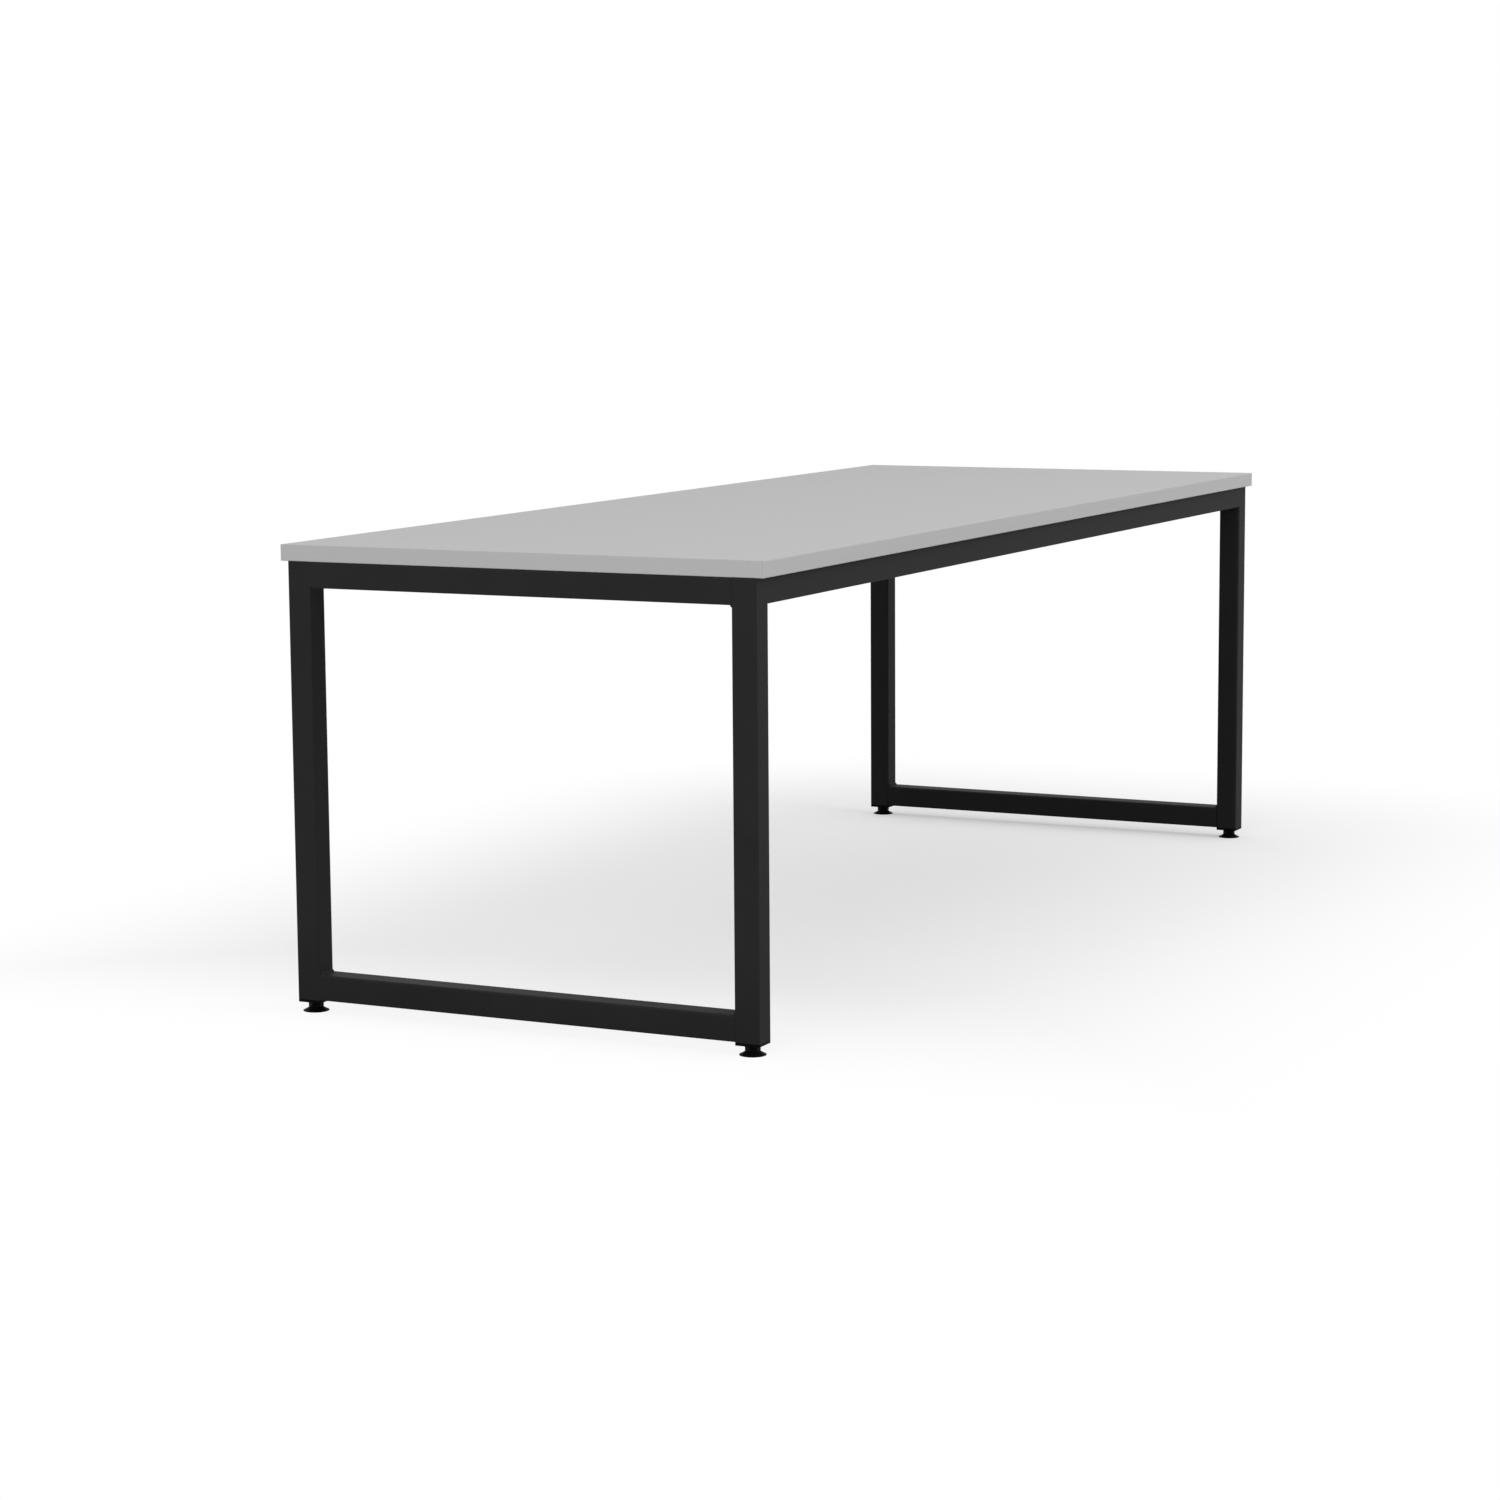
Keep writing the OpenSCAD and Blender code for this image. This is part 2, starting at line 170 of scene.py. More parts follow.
# %% [markdown]
# The light and the floor
#
# A black frame on white is hard to light: too little, and it is a cut-out, too much, and it turns grey.
# An even pale sky does most of the work. Two large soft lamps, in front and high on the right, make the
# outer faces lighter than the inner ones. Their strengths were solved for: the table was rendered in each
# light alone, and the shares were chosen that add up to the levels wanted.
#
# A square post looks square only while its sides differ. Photographers lay black cloth beside such a
# piece, to take away the light that the floor throws back at it. A patch of the floor does that here,
# under the table and to its right. It acts on the light alone and isn't seen.
#
# To the eye, and in mirrors, sky and floor are white, but they light the table at a plain level. The
# floor is two shaders: the matt one that the light bounces from, and, for what is seen, one with some
# white in it, which takes weight off the shadow. Away from the table it turns all white, so that no
# horizon shows, and at the near end it does so sooner, because the floor in front is bare white in the
# picture. From below the floor is clear, to leave the underside open to view.

# %% Sky
sky_level = 0.68
white = (1, 1, 1, 1)


def seen_or_mirrored(tree):
    """One for rays from the camera, a mirror or a glass, and zero for those that carry light."""
    path = add(tree, "ShaderNodeLightPath").outputs
    mirrored = sums(tree, "MAXIMUM", path["Is Glossy Ray"], path["Is Transmission Ray"])
    return sums(tree, "MAXIMUM", path["Is Camera Ray"], mirrored)


world = bpy.data.worlds.new("sky")
world.use_nodes = True
scene.world = world
sky = world.node_tree
sky.nodes.clear()
lighting = add(sky, "ShaderNodeBackground", (white, sky_level)).outputs[0]
seen = add(sky, "ShaderNodeBackground", (white, 1)).outputs[0]
mixed = add(sky, "ShaderNodeMixShader", (seen_or_mirrored(sky), lighting, seen)).outputs[0]
add(sky, "ShaderNodeOutputWorld", (mixed,))
print("sky level:", sky_level)

# %% Floor
floor_half = 30.0

floor_mesh = bpy.data.meshes.new("floor")
floor_corners = [(x * floor_half, y * floor_half, 0) for x, y in ((-1, -1), (1, -1), (1, 1), (-1, 1))]
floor_mesh.from_pydata(floor_corners, [], [(0, 1, 2, 3)])
floor = bpy.data.objects.new("floor", floor_mesh)
scene.collection.objects.link(floor)
print("floor, metres across:", 2 * floor_half)

# %% Floor that the light bounces from
# The cloth is a box that stands through the floor, with a soft edge outside it
floor_albedo, cloth_albedo = 0.8, 0.03
cloth_middle, cloth_half, cloth_edge = (0.3, -0.7, 0.0), (1.25, 1.2, 1.0), 0.4


def distance_outside(tree, place, middle, half):
    """How far a point lies outside a box that is given by its middle and half its size."""
    from_middle = vectors(tree, "ABSOLUTE", vectors(tree, "SUBTRACT", place, middle))
    beyond = vectors(tree, "MAXIMUM", vectors(tree, "SUBTRACT", from_middle, half), (0, 0, 0))
    return add(tree, "ShaderNodeVectorMath", (beyond,), operation="LENGTH").outputs[1]


paint = bpy.data.materials.new("floor_white")
paint.use_nodes = True
tree = paint.node_tree
tree.nodes.clear()
place = add(tree, "ShaderNodeTexCoord").outputs["Object"]
past_cloth = distance_outside(tree, place, cloth_middle, cloth_half)
albedo = ramp(tree, past_cloth, 0, cloth_edge, cloth_albedo, floor_albedo)
bounce = add(tree, "ShaderNodeBsdfDiffuse", (albedo,)).outputs[0]
print("cloth, metres:", [2 * half for half in cloth_half[:2]])

# %% Floor as it is seen
seen_albedo, seen_white = 0.62, 0.4

# It turns white between these distances past the table, and between these places along it
shadow_reach = (0.1, 0.9)
bare_in_front = (-0.5, -1.3)


def turn_white(tree, value, start, end):
    """Rises smoothly from zero at one value to one at the other."""
    return add(tree, "ShaderNodeMapRange", (value, start, end), interpolation_type="SMOOTHSTEP").outputs[0]


shaded = add(tree, "ShaderNodeBsdfDiffuse", ((seen_albedo, seen_albedo, seen_albedo, 1),)).outputs[0]
glow = add(tree, "ShaderNodeEmission", (white, seen_white)).outputs[0]
near_floor = add(tree, "ShaderNodeAddShader", (shaded, glow)).outputs[0]
far_floor = add(tree, "ShaderNodeEmission", (white, 1)).outputs[0]
past_table = distance_outside(tree, place, (0, 0, 0), (cad_high.x, cad_high.y, 1))
along_table = add(tree, "ShaderNodeSeparateXYZ", (place,)).outputs["X"]
whiteness = sums(tree, "MAXIMUM", turn_white(tree, past_table, *shadow_reach),
                 turn_white(tree, along_table, *bare_in_front))
looks = add(tree, "ShaderNodeMixShader", (whiteness, near_floor, far_floor)).outputs[0]

from_above = add(tree, "ShaderNodeMixShader", (seen_or_mirrored(tree), bounce, looks)).outputs[0]
clear = add(tree, "ShaderNodeBsdfTransparent").outputs[0]
from_below = add(tree, "ShaderNodeNewGeometry").outputs["Backfacing"]
surface = add(tree, "ShaderNodeMixShader", (from_below, from_above, clear)).outputs[0]
add(tree, "ShaderNodeOutputMaterial", (surface,))
floor_mesh.materials.append(paint)
floor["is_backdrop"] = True
print("shadow reaches, metres past the table:", shadow_reach[1])

# %% Lamps
# Rows of (name, place, aim, size in metres, power in watts)
lamp_rows = [
    ("lamp_front", (-5.0, -0.6, 2.6), (-0.8, 0.0, 0.4), 2.4, 42),
    ("lamp_right", (0.6, -4.0, 2.4), (0.2, 0.0, 0.4), 2.2, 60),
]
for name, place, aim, size, power in lamp_rows:
    lamp = bpy.data.lights.new(name, "AREA")
    lamp.shape = "SQUARE"
    lamp.size = size
    lamp.energy = power
    holder = bpy.data.objects.new(name, lamp)
    holder.location = place
    holder.rotation_euler = (Vector(aim) - Vector(place)).to_track_quat("-Z", "Y").to_euler()
    scene.collection.objects.link(holder)
print("lamps:", [row[0] for row in lamp_rows])

# %% [markdown]
# Surface effects that several finishes share
#
# Pressed melamine, powder coat and moulded plastic all have a fine relief. They differ in how wide and
# how deep it is, not in kind, so one group makes a pebbled height and each finish sets its grain. The
# same holds for the uneven sheen that hands and cloths leave, and for the dust that settles on what faces
# up. All three take the place on the piece as an input, so that the pattern stays with the piece when it
# moves.

# %% Pebbled relief
swells_per_pebble = 0.6

relief_group, given, result = start_group(
    "Pebbled relief", "ShaderNodeTree",
    [("Place", "Vector", None), ("Grain Size", "Float", 0.001), ("Sharpness", "Float", 0.5)],
    [("Height", "Float")])
per_metre = sums(relief_group, "DIVIDE", 1.0, given["Grain Size"])
pebbles = add(relief_group, "ShaderNodeTexVoronoi", {"Vector": given["Place"], "Scale": per_metre},
              feature="SMOOTH_F1").outputs["Distance"]
swells_per_metre = sums(relief_group, "MULTIPLY", per_metre, swells_per_pebble)
swell = noise(relief_group, given["Place"], swells_per_metre, detail=3.0)
domed = sums(relief_group, "MULTIPLY", sums(relief_group, "SUBTRACT", 1.0, pebbles), given["Sharpness"])
relief_group.links.new(sums(relief_group, "ADD", domed, swell), result["Height"])
print("group:", relief_group.name)

# %% Uneven sheen
sheen_group, given, result = start_group(
    "Uneven sheen", "ShaderNodeTree",
    [("Place", "Vector", None), ("Patch Size", "Float", 0.1), ("Roughness", "Float", 0.5),
     ("Spread", "Float", 0.05)],
    [("Roughness", "Float"), ("Patches", "Float")])
per_metre = sums(sheen_group, "DIVIDE", 1.0, given["Patch Size"])
patches = add(sheen_group, "ShaderNodeTexNoise",
              {"Vector": given["Place"], "Scale": per_metre, "Detail": 5.0, "Roughness": 0.6}).outputs[0]
swing = sums(sheen_group, "MULTIPLY", sums(sheen_group, "SUBTRACT", patches, 0.5), given["Spread"])
sheen_group.links.new(sums(sheen_group, "ADD", given["Roughness"], swing), result["Roughness"])
sheen_group.links.new(patches, result["Patches"])
print("group:", sheen_group.name)

# %% Settled dust
# Dust lies where a face turns up by more than the first value, and its drifts thin it to the second
least_upward, thinnest, drifts_per_metre = 0.3, 0.6, 35.0

dust_group, given, result = start_group(
    "Settled dust", "ShaderNodeTree",
    [("Place", "Vector", None), ("Amount", "Float", 0.1)],
    [("Dust", "Float")])
normal = add(dust_group, "ShaderNodeNewGeometry").outputs["Normal"]
facing_up = add(dust_group, "ShaderNodeSeparateXYZ", (normal,)).outputs["Z"]
settled = ramp(dust_group, facing_up, least_upward, 1.0, 0.0, 1.0)
drift = noise(dust_group, given["Place"], drifts_per_metre, detail=4.0)
lying = sums(dust_group, "MULTIPLY", settled, ramp(dust_group, drift, 0.2, 0.8, thinnest, 1.0))
dust_group.links.new(sums(dust_group, "MULTIPLY", lying, given["Amount"]), result["Dust"])
print("group:", dust_group.name)


# %% Helpers for finishes
def grey(level, warmth=0.0):
    """Linear colour of a grey that is given as a screen level of 0 to 255, a little warmed or cooled."""
    linear = ((level / 255 + 0.055) / 1.055) ** 2.4
    return (linear * (1 + warmth), linear, linear * (1 - warmth), 1)


def start_finish(name, sheen, metallic=0.0):
    """Starts a material on object coordinates; sheen is the specular level of its Principled shader."""
    material = bpy.data.materials.new(name)
    material.use_nodes = True
    tree = material.node_tree
    shader = tree.nodes["Principled BSDF"]
    shader.inputs["Metallic"].default_value = metallic
    shader.inputs["Specular IOR Level"].default_value = sheen
    return material, tree, shader.inputs, add(tree, "ShaderNodeTexCoord").outputs["Object"]


def mix_colours(tree, factor, first, second):
    """Blends two colours by a mask. The Mix node's colours are its inputs 6 and 7 and its output 2."""
    return add(tree, "ShaderNodeMix", {0: factor, 6: first, 7: second}, data_type="RGBA").outputs[2]


def wander(tree, noisy, first, second):
    """Goes from one colour to another and back as a noise does."""
    return mix_colours(tree, ramp(tree, noisy, 0.3, 0.7, 0.0, 1.0), first, second)


def set_relief(tree, shader, place, grain, sharpness, depth):
    """Feeds the shader's normal with the pebbled relief, whose depth is in metres."""
    height = add(tree, "ShaderNodeGroup", {"Place": place, "Grain Size": grain, "Sharpness": sharpness},
                 node_tree=relief_group).outputs["Height"]
    bump = add(tree, "ShaderNodeBump", {"Strength": 1.0, "Distance": depth, "Height": height})
    tree.links.new(bump.outputs[0], shader["Normal"])


def set_sheen(tree, shader, place, patch_size, roughness, spread):
    """Feeds the shader's roughness with the uneven sheen, and returns its patches."""
    sheen = add(tree, "ShaderNodeGroup",
                {"Place": place, "Patch Size": patch_size, "Roughness": roughness, "Spread": spread},
                node_tree=sheen_group).outputs
    tree.links.new(sheen["Roughness"], shader["Roughness"])
    return sheen["Patches"]


def set_dust(tree, place, amount, colour, dust_colour):
    """Lays dust over a colour where the surface faces up."""
    dust = add(tree, "ShaderNodeGroup", {"Place": place, "Amount": amount}, node_tree=dust_group).outputs[0]
    return mix_colours(tree, dust, colour, dust_colour)


# %% [markdown]
# Grey melamine
#
# The board is chipboard with a printed paper pressed on in melamine resin. The press plate leaves a fine
# pebble, less than a millimetre across, and the resin has a low, even sheen. The grey is plain, so the
# life is in the relief, in a faint mottle of the paper, and in the smudges that change the sheen and not
# the colour.

# %% Melamine
mottle_per_metre, mottle_share = 900.0, 0.7

melamine, tree, shader, place = start_finish("grey_melamine", sheen=0.05)
set_relief(tree, shader, place, grain=0.0007, sharpness=0.6, depth=0.00002)
smudges = set_sheen(tree, shader, place, patch_size=0.16, roughness=0.52, spread=0.12)
mottle = noise(tree, place, mottle_per_metre, detail=3.0)
cloudy = sums(tree, "ADD", sums(tree, "MULTIPLY", mottle, mottle_share),
              sums(tree, "MULTIPLY", smudges, 1 - mottle_share))
tree.links.new(wander(tree, cloudy, grey(191), grey(197)), shader["Base Color"])
print("finish:", melamine.name)

# %% [markdown]
# Edging
#
# A strip of the same grey in solid plastic is glued round the board and trimmed flush. Two things tell it
# from the face: fine lines along its length, left by the die that it was drawn through, and a hairline of
# glue where it meets the melamine. The lines are a noise stretched along the strip. The hairline is a
# band on each side of the planes in which the strips meet the board, and those planes come from the
# board's own box. The long strips run from corner to corner and the short ones end against them, so each
# corner shows one upright line, on the table's end.

# %% Edging
board_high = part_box("top_board")[1]
glue_half_width = 0.0001
die_lines_per_metre = (4.0, 4.0, 2500.0)

edging, tree, shader, place = start_finish("edging_plastic", sheen=0.09)
set_relief(tree, shader, place, grain=0.0012, sharpness=0.2, depth=0.00001)
set_sheen(tree, shader, place, patch_size=0.2, roughness=0.46, spread=0.08)
drawn = add(tree, "ShaderNodeMapping", {"Vector": place, "Scale": die_lines_per_metre}).outputs[0]
lined = wander(tree, noise(tree, drawn, 1.0, detail=2.0), grey(182), grey(186))
parts = add(tree, "ShaderNodeSeparateXYZ", (place,)).outputs
past_end = sums(tree, "SUBTRACT", sums(tree, "ABSOLUTE", parts["X"]), board_high.x)
past_side = sums(tree, "SUBTRACT", sums(tree, "ABSOLUTE", parts["Y"]), board_high.y)
on_end_line = sums(tree, "LESS_THAN", sums(tree, "ABSOLUTE", past_end), glue_half_width)
on_side_line = sums(tree, "LESS_THAN", sums(tree, "ABSOLUTE", past_side), glue_half_width)
between_sides = sums(tree, "LESS_THAN", past_side, 0.0)
glue = sums(tree, "MAXIMUM", on_side_line, sums(tree, "MULTIPLY", on_end_line, between_sides))
tree.links.new(mix_colours(tree, glue, lined, grey(150)), shader["Base Color"])
print("finish:", edging.name)

# %% [markdown]
# Black powder coat
#
# The steel is sprayed with dry black powder and baked, which leaves a skin with a shallow orange peel
# about two millimetres from crest to crest. This black is matt rather than deep. Most of what the eye
# sees is the coat's own very dark grey, and the sheen over it is low and broad, so that a face gets its
# level from the light that falls on it and not from what it mirrors. Dust shows on black before it shows
# on anything else, and it lightens the upper faces of the two rails at the floor.

# %% Powder coat
powder_coat, tree, shader, place = start_finish("black_powder_coat", sheen=0.04)
set_relief(tree, shader, place, grain=0.0022, sharpness=0.25, depth=0.00006)
worn = set_sheen(tree, shader, place, patch_size=0.12, roughness=0.56, spread=0.14)
tone = wander(tree, worn, grey(38), grey(42))
dusty = set_dust(tree, place, amount=0.035, colour=tone, dust_colour=grey(150, 0.03))
tree.links.new(dusty, shader["Base Color"])
print("finish:", powder_coat.name)

# %% [markdown]
# Moulded plastic and zinc plate
#
# The inserts and feet are black plastic from a spark-eroded mould, finer and darker than the powder coat.
# The feet stand in the dust of the floor, the inserts don't. The studs, nuts and screws are steel with a
# bright zinc plate: a metal whose thin cloudy patches show as changes in tint and polish.

# %% Moulded plastic
def make_moulded(name, level, dust):
    """Black moulded plastic of one level, with more or less dust on what faces up."""
    material, tree, shader, place = start_finish(name, sheen=0.03)
    set_relief(tree, shader, place, grain=0.0005, sharpness=0.5, depth=0.00002)
    patches = set_sheen(tree, shader, place, patch_size=0.02, roughness=0.5, spread=0.15)
    tone = wander(tree, patches, grey(level), grey(level + 4))
    dusty = set_dust(tree, place, amount=dust, colour=tone, dust_colour=grey(140, 0.03))
    tree.links.new(dusty, shader["Base Color"])
    print("finish:", material.name)
    return material


insert_plastic = make_moulded("insert_plastic", level=7, dust=0.003)
foot_plastic = make_moulded("foot_plastic", level=7, dust=0.008)

# %% Zinc plate
zinc, tree, shader, place = start_finish("zinc_plate", sheen=0.5, metallic=1.0)
set_relief(tree, shader, place, grain=0.0009, sharpness=0.4, depth=0.00001)
clouds = set_sheen(tree, shader, place, patch_size=0.006, roughness=0.3, spread=0.2)
tree.links.new(wander(tree, clouds, grey(196, -0.02), grey(214, 0.01)), shader["Base Color"])
print("finish:", zinc.name)

# %% [markdown]
# A finish for every node
#
# The record names a material slot for each node. The shapes of the board, tubes, brackets, inserts and
# feet are right as they are, so those nodes stay and only their materials change.

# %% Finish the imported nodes
finishes = {"melamine_board": melamine, "edging": edging, "powder_coated_steel": powder_coat,
            "insert_plastic": insert_plastic, "foot_plastic": foot_plastic, "zinc_plated_steel": zinc}
for row in frame["record"]["subparts"]:
    node = frame["nodes"][row["node"]]
    for slot in node.material_slots:
        slot.material = finishes[row["material_slot"]]

# %% [markdown]
# Growing pieces from node trees
#
# A weld bead follows a seam, a thread follows a helix, and twelve screws are one screw twelve times. Each
# is a rule, so each is a Geometry Nodes tree that grows a mesh from a few points and lines. The tree's
# own inputs carry the sizes. When it has run, the result is kept as a plain mesh and the modifier goes,
# because the model has to leave Blender as meshes.


# %% Helpers that grow a piece
def shade(mesh, sharp_degrees):
    """Shades a mesh smooth, except across edges that bend by more than the angle."""
    mesh.shade_smooth()
    mesh.set_sharp_from_angle(angle=math.radians(sharp_degrees))


def grow(name, seed_mesh, tree, values, sharp_degrees=40):
    """Runs a tree on a seed mesh and keeps what it makes as a plain mesh object."""
    piece = bpy.data.objects.new(name, seed_mesh)
    scene.collection.objects.link(piece)
    modifier = piece.modifiers.new(name, "NODES")
    modifier.node_group = tree
    for item in tree.interface.items_tree:
        if item.in_out == "INPUT" and item.name in values:
            modifier[item.identifier] = values[item.name]
    evaluated = piece.evaluated_get(bpy.context.evaluated_depsgraph_get())
    mesh = bpy.data.meshes.new_from_object(evaluated)
    piece.modifiers.remove(modifier)
    piece.data = mesh
    mesh.name = name
    mesh.materials.clear()
    mesh.materials.append(values["Finish"])
    shade(mesh, sharp_degrees)
    print(name, "faces:", len(mesh.polygons))
    return piece


# %% Helpers inside a tree
def point(tree, x, y, z):
    """Joins three numbers to a place."""
    return add(tree, "ShaderNodeCombineXYZ", (x, y, z)).outputs[0]


def transform(tree, geometry, **change):
    """Moves, turns or scales a geometry."""
    return add(tree, "GeometryNodeTransform", {"Geometry": geometry, **change}).outputs[0]


def join(tree, *geometries):
    """Puts geometries together."""
    joined = add(tree, "GeometryNodeJoinGeometry")
    for geometry in geometries:
        tree.links.new(geometry, joined.inputs[0])
    return joined.outputs[0]


def merge(tree, geometry, distance):
    """Makes one of points that lie closer together than the distance."""
    return add(tree, "GeometryNodeMergeByDistance", {"Geometry": geometry, "Distance": distance}).outputs[0]


def finish_tree(tree, geometry, material, result):
    """Ends a tree: real geometry in place of instances, with its material."""
    real = add(tree, "GeometryNodeRealizeInstances", (geometry,)).outputs[0]
    made = add(tree, "GeometryNodeSetMaterial", {"Geometry": real, "Material": material}).outputs[0]
    tree.links.new(made, result["Geometry"])


# %% [markdown]
# Weld beads
#
# Where a rail meets a post, a fillet of weld fills the corner: about 5 mm up each face, slightly crowned,
# with the crescent ripples that the arc leaves as it steps along. Powder coat softens the ripples and
# doesn't hide them. The beads could be modelled one by one, but they differ only in where they run, so
# each seam is drawn as one edge that knows the directions of its two faces. The tree turns the edge into
# a curve, sweeps the bead's section along it, and raises the ripples.

# %% Seams of the frame
weld_leg = 0.005
tube_corner = 0.0035
down, upward = Vector((0, 0, -1)), Vector((0, 0, 1))


def corner_of_post(end, side):
    """Centre, inner faces and flat width of a post, where end and side are -1 or 1."""
    name = f"post_{'near' if end < 0 else 'far'}_{'right' if side < 0 else 'left'}"
    low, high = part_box(name)
    inner_x, inner_y = (high.x if end < 0 else low.x), (high.y if side < 0 else low.y)
    return (low + high) / 2, inner_x, inner_y, high.x - low.x - 2 * tube_corner


def seams_of_post(end, side):
    """Rows of (corner, first face, second face, length, leg) for the three rails at a post."""
    centre, inner_x, inner_y, flat = corner_of_post(end, side)
    rail_bottom, rail_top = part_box("end_rail_near")[0].z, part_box("foot_rail_near")[1].z
    inward_x, inward_y = Vector((-end, 0, 0)), Vector((0, -side, 0))
    return [(Vector((centre.x, inner_y, rail_bottom)), inward_y, down, flat, weld_leg),
            (Vector((centre.x, inner_y, rail_top)), inward_y, upward, flat, weld_leg),
            (Vector((inner_x, centre.y, rail_bottom)), inward_x, down, flat, weld_leg)]


seams = [seam for end in (-1, 1) for side in (-1, 1) for seam in seams_of_post(end, side)]
print("seams of the frame:", len(seams))

# %% Seams of the brackets
bracket_weld_leg = 0.003
bracket_length = 0.040
bracket_fold = 0.005  # outside radius, which the beads stop short of
brackets_per_side, brackets_per_end = 4, 2


def spread(count, low, high):
    """Evenly spaced places from low to high."""
    return [low + (high - low) * i / (count - 1) for i in range(count)]


def bracket_places():
    """Rows of (place on the rail's inner face at the frame's top, direction in under the board)."""
    rows = []
    for name, inward in (("right", Vector((0, 1, 0))), ("left", Vector((0, -1, 0)))):
        low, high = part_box("top_brackets_" + name)
        y = low.y if inward.y > 0 else high.y
        for x in spread(brackets_per_side, low.x + bracket_length / 2, high.x - bracket_length / 2):
            rows.append((Vector((x, y, high.z)), inward))
    for name, inward in (("near", Vector((1, 0, 0))), ("far", Vector((-1, 0, 0)))):
        low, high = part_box("top_brackets_" + name)
        x = low.x if inward.x > 0 else high.x
        for y in spread(brackets_per_end, low.y + bracket_length / 2, high.y - bracket_length / 2):
            rows.append((Vector((x, y, high.z)), inward))
    return rows


def seams_of_bracket(place, inward):
    """The upright seams at both ends of a bracket."""
    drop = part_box("top_brackets_near")[1].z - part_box("top_brackets_near")[0].z
    along = inward.cross(upward)
    middle = place + down * drop / 2
    return [(middle + way * bracket_length / 2, inward, way, drop - 2 * bracket_fold, bracket_weld_leg)
            for way in (along, -along)]


seams += [seam for place, inward in bracket_places() for seam in seams_of_bracket(place, inward)]
print("seams in all:", len(seams))


# %% Seams as a seed mesh
def seam_mesh(rows):
    """One edge for each seam, whose ends hold the first face's direction and the leg."""
    points, edges, faces, legs = [], [], [], []
    for corner, first, second, length, leg in rows:
        run = first.cross(second) * length / 2
        edges.append((len(points), len(points) + 1))
        points += [corner - run, corner + run]
        faces += [first, first]
        legs += [leg, leg]
    mesh = bpy.data.meshes.new("seams")
    mesh.from_pydata(points, edges, [])
    directions = mesh.attributes.new("first_face", "FLOAT_VECTOR", "POINT")
    directions.data.foreach_set("vector", [part for face in faces for part in face])
    mesh.attributes.new("leg", "FLOAT", "POINT").data.foreach_set("value", legs)
    return mesh


# %% Helpers that keep values on points
def store(tree, geometry, name, value):
    """Keeps a number on every point of a geometry."""
    return add(tree, "GeometryNodeStoreNamedAttribute",
               {"Geometry": geometry, "Name": name, "Value": value}).outputs[0]


def recall(tree, name, data_type="FLOAT"):
    """Reads what is kept on the points."""
    return add(tree, "GeometryNodeInputNamedAttribute", {"Name": name}, data_type=data_type).outputs[0]


# %% Tree that lays a bead
bead_tree, given, result = start_group(
    "Weld bead", "GeometryNodeTree",
    [("Geometry", "Geometry", None), ("Step", "Float", 0.00025), ("Ripple Pitch", "Float", 0.0022),
     ("Ripple Height", "Float", 0.0004), ("Crescent", "Float", 0.8), ("Finish", "Material", None)],
    [("Geometry", "Geometry")])
print("tree:", bead_tree.name)

# %% Section of a bead
# Its corner lies at zero, and it reaches one leg along X and Y. The crowned face between is an arc, whose
# centre lies two legs behind the corner on both axes.
section_points = 14
arc_behind = 2.0
arc_radius = math.hypot(1 + arc_behind, arc_behind)
arc_start = math.atan2(arc_behind, 1 + arc_behind)

index = add(bead_tree, "GeometryNodeInputIndex").outputs[0]
across = ramp(bead_tree, index, 1, section_points - 1, 0, 1)
angle = ramp(bead_tree, index, 1, section_points - 1, arc_start, math.pi / 2 - arc_start)
on_arc = sums(bead_tree, "GREATER_THAN", index, 0.5)
arc_x = sums(bead_tree, "MULTIPLY_ADD", sums(bead_tree, "COSINE", angle), arc_radius, -arc_behind)
arc_y = sums(bead_tree, "MULTIPLY_ADD", sums(bead_tree, "SINE", angle), arc_radius, -arc_behind)
section_place = point(bead_tree, sums(bead_tree, "MULTIPLY", arc_x, on_arc),
                      sums(bead_tree, "MULTIPLY", arc_y, on_arc), 0.0)
ring = add(bead_tree, "GeometryNodeCurvePrimitiveCircle", {"Resolution": section_points}).outputs[0]
section = add(bead_tree, "GeometryNodeSetPosition", {"Geometry": ring, "Position": section_place}).outputs[0]
rounding = sums(bead_tree, "SINE", sums(bead_tree, "MULTIPLY", across, math.pi))
section = store(bead_tree, section, "crown", sums(bead_tree, "MULTIPLY", on_arc, rounding))
print("points in the section:", section_points)

# %% Path of a bead
# The path keeps its length so far, and near both ends the bead thins to less than half its leg
end_girth, end_sharpness = 0.45, 16.0
girth_swing, girth_per_metre = 0.3, 140.0

path = add(bead_tree, "GeometryNodeMeshToCurve", (given["Geometry"],)).outputs[0]
path = add(bead_tree, "GeometryNodeResampleCurve", {"Curve": path, "Length": given["Step"]},
           mode="LENGTH").outputs[0]
first_face = recall(bead_tree, "first_face", "FLOAT_VECTOR")
path = add(bead_tree, "GeometryNodeSetCurveNormal", {"Curve": path, "Normal": first_face},
           mode="FREE").outputs[0]
along = add(bead_tree, "GeometryNodeSplineParameter").outputs
path = store(bead_tree, path, "run", along["Length"])
from_middle = sums(bead_tree, "ABSOLUTE", sums(bead_tree, "MULTIPLY_ADD", along["Factor"], 2.0, -1.0))
end_taper = ramp(bead_tree, sums(bead_tree, "POWER", from_middle, end_sharpness), 0, 1, 1, end_girth)
unsteady = noise(bead_tree, None, girth_per_metre, detail=1.0)
swelling = sums(bead_tree, "MULTIPLY_ADD", unsteady, girth_swing, 1 - girth_swing / 2)
girth = sums(bead_tree, "MULTIPLY", end_taper, swelling)
leg = recall(bead_tree, "leg")
bead = add(bead_tree, "GeometryNodeCurveToMesh",
           {"Curve": path, "Profile Curve": section, "Scale": sums(bead_tree, "MULTIPLY", leg, girth),
            "Fill Caps": True}).outputs[0]
print("thinnest girth at an end:", end_girth)

